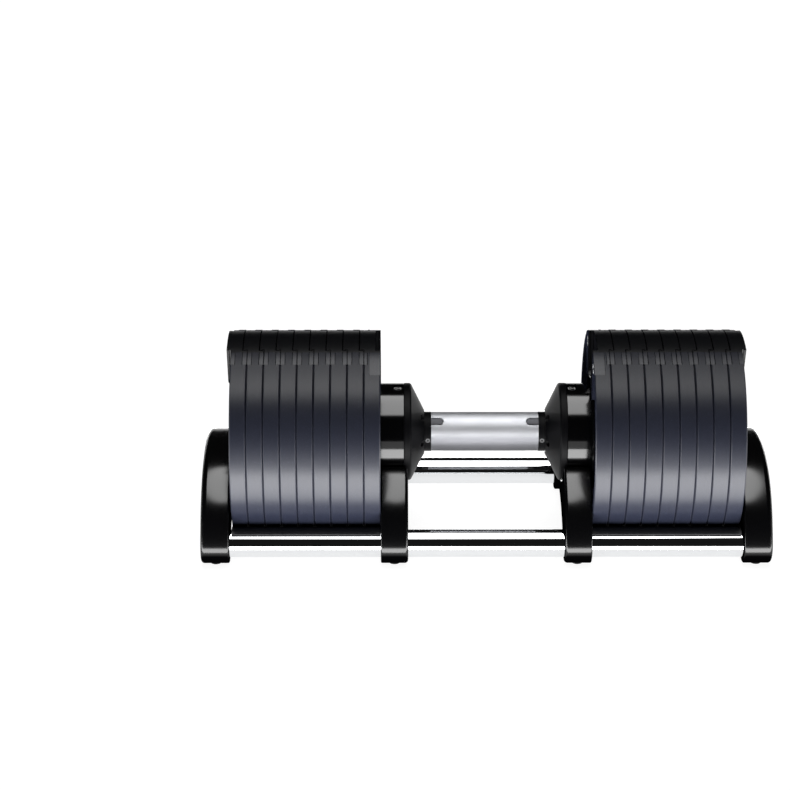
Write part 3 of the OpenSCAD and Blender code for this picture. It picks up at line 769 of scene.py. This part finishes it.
def make_grip():
    """Radius = tube radius minus depth times (1 - pyramid), and down to the bore inside the notches."""
    turns = KNURL_ROUND * 4
    rows = 4 * int(2 * GRIP_END / KNURL_PITCH)
    angle = np.arange(turns)[None, :] * 2 * math.pi / turns
    x = np.linspace(-GRIP_END, GRIP_END, rows + 1)[:, None]
    u = angle * KNURL_ROUND / (2 * math.pi)
    v = x / KNURL_PITCH
    pyramid = np.minimum(triangle_wave(u + v), triangle_wave(u - v))
    plain = np.clip((np.abs(x) - (GRIP_END - PLAIN_END)) / PLAIN_RUN, 0, 1)
    relief_in = KNURL_DEPTH * (1 - np.minimum(pyramid * FLAT_TOPS, 1)) * (1 - plain)
    radius = GRIP_R - relief_in - (GRIP_R - GRIP_BORE - NOTCH_FLOOR) * notch_depth(angle, x)
    outside = np.stack([x + 0 * angle, radius * np.sin(angle), AXIS_Z + radius * np.cos(angle)], axis=-1)
    inside_profile = np.array([[GRIP_END, GRIP_BORE], [0, GRIP_BORE], [-GRIP_END, GRIP_BORE]])
    inside = turned_rows(inside_profile, 0, AXIS_Z, turns)
    shell = Shell()
    shell.rings(np.concatenate([outside, inside, outside[:1]]))
    grip = shell.build("knurled_grip", FINISH["grip_steel"], crease=75)
    hand_over(grip, "grip", "grip_steel", "grip_tube")
    print("knurl pitch", round(KNURL_PITCH / MM, 2), "mm,", rows, "rows of", turns)


make_grip()

# %% [markdown]
# ## Outlines made of arcs
# The cradle's brackets are cut to an outline of arcs that run smoothly into each other. An outline is listed
# as circles, each with the side its material lies on, and between two neighbouring circles there is either a
# touching point or a fillet. A fillet's centre lies at its own radius from both circles, so it is where two
# grown or shrunk circles cross.

# %% Chain circles into an outline
def angle_of(vector):
    return math.atan2(vector[1], vector[0])


def circles_cross(a, ra, b, rb, near):
    """Crossing of two circles nearest to the point near."""
    gap = b - a
    distance = np.linalg.norm(gap)
    along = (ra ** 2 - rb ** 2 + distance ** 2) / (2 * distance)
    aside = math.sqrt(max(ra ** 2 - along ** 2, 0))
    base = a + gap / distance * along
    across = np.array([-gap[1], gap[0]]) / distance * aside
    return min((base + across, base - across), key=lambda p: np.linalg.norm(p - near))


def arc_points(centre, radius, start, stop, turn, step=1.3 * MM):
    """Points and outward normals along an arc; turn is 1 clockwise round material, -1 round a hollow."""
    if turn > 0:
        sweep = -((start - stop) % (2 * math.pi))
    else:
        sweep = (stop - start) % (2 * math.pi)
    count = max(4, int(abs(sweep) * radius / step))
    angle = start + sweep * np.linspace(0, 1, count, endpoint=False)
    ray = np.stack([np.cos(angle), np.sin(angle)], axis=1)
    return centre + radius * ray, turn * ray


def outline_of(circles, joints):
    """circles are (centre, radius, side); joints[i] links circle i to the next one: None where they touch,
    or (fillet, near). A positive fillet rounds a corner off and a negative one fills a corner in."""
    count = len(circles)
    leave, enter, fillets = [0] * count, [0] * count, [None] * count
    for i, joint in enumerate(joints):
        j = (i + 1) % count
        (a, ra, side_a), (b, rb, side_b) = circles[i], circles[j]
        if joint is None:
            touch = angle_of(b - a) if ra > rb else angle_of(a - b)
            leave[i], enter[j] = touch, touch
            continue
        fillet, near = joint
        centre = circles_cross(a, ra - side_a * fillet, b, rb - side_b * fillet, near)
        leave[i], enter[j] = angle_of(centre - a), angle_of(centre - b)
        meets = [c + r * (centre - c) / np.linalg.norm(centre - c) for c, r in ((a, ra), (b, rb))]
        fillets[i] = (centre, abs(fillet), angle_of(meets[0] - centre), angle_of(meets[1] - centre),
                      1 if fillet > 0 else -1)
    parts = []
    for i, (centre, radius, side) in enumerate(circles):
        parts.append(arc_points(centre, radius, enter[i], leave[i], side))
        if fillets[i]:
            parts.append(arc_points(*fillets[i], step=0.6 * MM))
    return np.concatenate([p for p, n in parts]), np.concatenate([n for p, n in parts])


print("outline helpers ready")

# %% [markdown]
# ## Cradle brackets
# Four moulded arches hold the rails and keep the discs upright. Seen from the end, each is a flat crown, two
# round shoulders that run down to a boss round each rail, and a hollow underneath; the inner pair has a
# saddle that clears the hub. Mouldings have no sharp edges: the outer corner is rounded by several
# millimetres and the hollow face is scooped, which is what catches the light on black gloss.

# %% Circles of the bracket outline
SIDE_TILT = math.radians(15)
CROWN_SINK = 2.0 * MM
WEB_FILLET = 6 * MM
HORN_FILLET = 3 * MM
UNDER_TOP = RAIL_Z + 14.5 * MM
UNDER_FOOT = 4.0 * MM
SADDLE_R = HUB_R + 0.5 * MM
shoulder_r = (ARCH_TOP - RAIL_Z - BOSS_R * math.sin(SIDE_TILT) - CROWN_SINK) / (1 - math.sin(SIDE_TILT))
shoulder = np.array([RAIL_Y - (shoulder_r - BOSS_R) * math.cos(SIDE_TILT),
                     RAIL_Z - (shoulder_r - BOSS_R) * math.sin(SIDE_TILT)])
rise = ARCH_TOP - shoulder[1]
crown_r = (shoulder[0] ** 2 + rise ** 2 - shoulder_r ** 2) / (2 * CROWN_SINK)
crown = np.array([0.0, ARCH_TOP - crown_r])
under_rise = UNDER_TOP - RAIL_Z + UNDER_FOOT
under_r = ((RAIL_Y - BOSS_R) ** 2 + under_rise ** 2) / (2 * under_rise)
under = np.array([0.0, UNDER_TOP - under_r])
boss = np.array([RAIL_Y, RAIL_Z])
hub = np.array([0.0, AXIS_Z])
FLIP = np.array([-1.0, 1.0])
print("shoulder radius", round(shoulder_r / MM, 1), "crown radius", round(crown_r / MM, 1))


def arch_outline(saddle):
    """The whole outline, clockwise from the middle of the top."""
    web = (-WEB_FILLET, boss + np.array([-20, -8]) * MM)
    web_left = (web[0], web[1] * FLIP)
    sides = [(shoulder, shoulder_r, 1), (boss, BOSS_R, 1), (under, under_r, -1),
             (boss * FLIP, BOSS_R, 1), (shoulder * FLIP, shoulder_r, 1)]
    if not saddle:
        return outline_of([(crown, crown_r, 1)] + sides, [None, None, web, web_left, None, None])
    horn = np.array([40, 70]) * MM
    tip, tip_left = (HORN_FILLET, horn), (HORN_FILLET, horn * FLIP)
    return outline_of([(hub, SADDLE_R, -1)] + sides, [tip, None, web, web_left, None, tip_left])


SCOOP_INSET = 6.5 * MM
SCOOP_UNDER = 0.6
SCOOP_RING = BOSS_R + 1.0 * MM
SCOOP_FILLET = 5 * MM


def scoop_outline(inset):
    """The hollow in an end bracket's face: inside crown and shoulders, round the bosses, above the arch."""
    ring, fillet = SCOOP_RING, SCOOP_FILLET
    high, low = boss + np.array([-12, 24]) * MM, boss + np.array([-26, 8]) * MM
    circles = [(crown, crown_r - inset, 1), (shoulder, shoulder_r - inset, 1), (boss, ring, -1),
               (under, under_r + inset * SCOOP_UNDER, -1), (boss * FLIP, ring, -1),
               (shoulder * FLIP, shoulder_r - inset, 1)]
    joints = [None, (fillet, high), (fillet, low), (fillet, low * FLIP), (fillet, high * FLIP), None]
    return outline_of(circles, joints)


# %% Carry an outline through a profile
def smooth_round(values, width):
    """Running average round a closed loop."""
    kernel = np.ones(2 * width + 1) / (2 * width + 1)
    return np.convolve(np.concatenate([values[-width:], values, values[:width]]), kernel, "valid")


def moulded_rings(points, normals, insets, stations):
    """Ring k lies at x = stations[k] with the outline moved inwards by insets[k], one value per point."""
    y_z = points[None] - normals[None] * insets[..., None]
    per_point = stations[..., None] if stations.ndim == 2 else stations[:, None, None]
    x = np.broadcast_to(per_point, y_z.shape[:2] + (1,))
    return np.concatenate([x, y_z], axis=-1)


BREAK_EDGE = 1.2 * MM


def bracket_rings(points, normals, x_plain, x_round, edge):
    """Skin of a bracket: a small rounding at x_plain and one of edge, per point, at x_round."""
    way = 1 if x_round > x_plain else -1
    small = BREAK_EDGE
    quarter = np.linspace(0, math.pi / 2, 7)
    insets = [np.full(len(points), small * (1 - math.sin(a))) for a in quarter]
    stations = [np.full(len(points), x_plain + way * small * (1 - math.cos(a))) for a in quarter]
    for a in np.linspace(0, math.pi / 2, 11):
        insets.append(edge * (1 - math.cos(a)))
        stations.append(x_round - way * edge * (1 - math.sin(a)))
    return moulded_rings(points, normals, np.array(insets), np.array(stations))


def bore_rings(y, z, radius, stations, count=72):
    """Rings round (y, z) at the stations: (x, y + r cos a, z + r sin a)."""
    angle = np.linspace(0, 2 * math.pi, count, endpoint=False)
    rows = [np.stack([np.full(count, x), y + r * np.cos(angle), z + r * np.sin(angle)], axis=1)
            for x, r in zip(stations, np.broadcast_to(radius, len(stations)))]
    return np.array(rows)


print("profile helpers ready")

# %% Roundings of the outer edge
SHOULDER_ROUND = 5 * MM
BOSS_ROUND = 3 * MM
HOLLOW_ROUND = 1.5 * MM
INNER_ROUND = 2.8 * MM


def edge_rounding(points):
    """Large on crown and shoulders, less on the bosses, small in the hollow, run into each other."""
    height = points[:, 1]
    outside = np.linalg.norm(points - under, axis=1) > under_r + 2 * MM
    above = np.where(height > RAIL_Z + BOSS_R * 0.6, SHOULDER_ROUND, BOSS_ROUND)
    return smooth_round(np.where(outside, above, HOLLOW_ROUND), 8)


print("edges rounded by up to", round(SHOULDER_ROUND / MM, 1), "mm")

# %% The end brackets
RAIL_SEAT = 6.9 * MM
SEAT_PLAY = 0.05 * MM
COUNTERBORE_R = 9.2 * MM
COUNTERBORE = 2.4 * MM
LEAD_IN = 0.3
SCOOP_WALL = 4.8 * MM
SCOOP_DEPTH = 10.5 * MM
SCOOP_POWER = 0.8


def make_end_bracket(side):
    """Skin, scooped face, and for each rail a blind seat inside and a counterbore outside. The scoop's wall
    leans in by (1 - cos) to a power while it goes down by sin."""
    sign = 1 if side == "right" else -1
    x_in, x_out = sign * end_low.x, sign * end_high.x
    points, normals = arch_outline(saddle=False)
    shell = Shell()
    skin = shell.rings(bracket_rings(points, normals, x_in, x_out, edge_rounding(points)))
    scoop_points, scoop_normals = scoop_outline(SCOOP_INSET)
    steps = np.linspace(0, 1, 9)
    wall_in = SCOOP_WALL * (1 - np.cos(steps * math.pi / 2)) ** SCOOP_POWER
    wall_down = SCOOP_DEPTH * np.sin(steps * math.pi / 2)
    insets = np.repeat(wall_in[:, None], len(scoop_points), axis=1)
    scoop = shell.rings(moulded_rings(scoop_points, scoop_normals, insets, x_out - sign * wall_down))
    rims, bores = [], []
    for m in (-1, 1):
        depth = np.array([0, LEAD_IN, LEAD_IN + 0.01, COUNTERBORE / MM]) * MM
        widths = np.array([COUNTERBORE_R + LEAD_IN * MM, COUNTERBORE_R, COUNTERBORE_R, COUNTERBORE_R])
        recess = shell.rings(bore_rings(m * RAIL_Y, RAIL_Z, widths, x_out - sign * depth))
        seat = shell.rings(bore_rings(m * RAIL_Y, RAIL_Z, RAIL_R + SEAT_PLAY,
                                      [x_in, x_out - sign * RAIL_SEAT]))
        rims.append(recess[0])
        bores.append(seat[0])
        shell.cap(recess[-1])
        shell.cap(seat[-1])
    shell.cap(skin[0], *bores)
    shell.cap(skin[-1], scoop[0], *rims)
    shell.cap(scoop[-1])
    piece = shell.build(f"end_arch_{side}", FINISH["bracket_gloss"])
    hand_over(piece, "cradle", "bracket_gloss", f"end_bracket_{side}")


print("end bracket ready, seats", round(RAIL_SEAT / MM, 1), "mm from its face")

# %% The inner brackets
def make_inner_bracket(side):
    """Skin with the saddle, and a through bore for each rail."""
    sign = 1 if side == "right" else -1
    x_plate, x_middle = sign * inner_high.x, sign * inner_low.x
    points, normals = arch_outline(saddle=True)
    edge = np.minimum(edge_rounding(points), INNER_ROUND)
    shell = Shell()
    skin = shell.rings(bracket_rings(points, normals, x_plate, x_middle, edge))
    bores = [shell.rings(bore_rings(m * RAIL_Y, RAIL_Z, RAIL_R + SEAT_PLAY, [x_plate, x_middle]))
             for m in (-1, 1)]
    shell.cap(skin[0], *[b[0] for b in bores])
    shell.cap(skin[-1], *[b[-1] for b in bores])
    piece = shell.build(f"inner_arch_{side}", FINISH["bracket_gloss"])
    hand_over(piece, "cradle", "bracket_gloss", f"inner_bracket_{side}")


# %% Mould all four
for side in SIDES:
    make_end_bracket(side)
    make_inner_bracket(side)

# %% [markdown]
# ## Numbers on the dials
# Each hub has a window on top, and behind it a ring that turns with the grip carries the weights. A number is
# typed as text, made into a mesh, and then bent round the ring: its width stays along the axis and its height
# becomes an angle. Nine of them stand 40 degrees apart, in the order in which they come to the window.

# %% Print the dials
CLICK = math.radians(40)
NUMBER_HEIGHT = 5.2 * MM
NUMBER_WIDTH = 0.86
NUMBER_LIFT = 0.06 * MM
NUMBER_LEAN = math.radians(3)
GLYPH_THICKNESS = 0.02
KILOS_PER_CLICK = 4


def bent_number(text, angle, x_centre):
    """A flat glyph (u, v) goes to x = x_centre + u and, v / radius further round, to the ring's surface."""
    curve = bpy.data.curves.new("glyphs", "FONT")
    curve.body = text
    curve.align_x = "CENTER"
    curve.align_y = "CENTER"
    curve.extrude = GLYPH_THICKNESS
    typed = bpy.data.objects.new("glyphs", curve)
    mesh = bpy.data.meshes.new_from_object(typed)
    flat = np.zeros(len(mesh.vertices) * 3)
    mesh.vertices.foreach_get("co", flat)
    flat = flat.reshape(-1, 3)
    size = np.ptp(flat[:, 1])
    flat[:, 1] -= (flat[:, 1].max() + flat[:, 1].min()) / 2
    flat *= NUMBER_HEIGHT / size
    turn = angle + flat[:, 1] / DIAL_R
    radius = DIAL_R + NUMBER_LIFT + flat[:, 2] * 0.5
    x = x_centre + flat[:, 0] * NUMBER_WIDTH
    bent = np.stack([x, radius * np.sin(turn), AXIS_Z + radius * np.cos(turn)], axis=1)
    faces = [list(p.vertices) for p in mesh.polygons]
    bpy.data.objects.remove(typed)
    bpy.data.curves.remove(curve)
    bpy.data.meshes.remove(mesh)
    return bent, faces


def print_dial(side):
    """All nine numbers of one ring, joined in one mesh."""
    sign = 1 if side == "right" else -1
    points, faces, count = [], [], 0
    for click in range(PLATE_COUNT + 1):
        text = f"{KILOS_PER_CLICK * (click + 1):02d}"
        bent, quads = bent_number(text, NUMBER_LEAN + click * CLICK, sign * DIAL_X)
        points.append(bent)
        faces += [[count + v for v in face] for face in quads]
        count += len(bent)
    mesh = bpy.data.meshes.new(f"dial_numbers_{side}")
    mesh.from_pydata(np.concatenate(points).tolist(), [], faces)
    work = bmesh.new()
    work.from_mesh(mesh)
    bmesh.ops.remove_doubles(work, verts=work.verts, dist=1e-6)
    bmesh.ops.recalc_face_normals(work, faces=work.faces)
    work.to_mesh(mesh)
    work.free()
    mesh.materials.append(number_paint)
    piece = bpy.data.objects.new(f"dial_numbers_{side}", mesh)
    bpy.context.scene.collection.objects.link(piece)
    hand_over(piece, "grip", "dial_black")


for side in SIDES:
    print_dial(side)
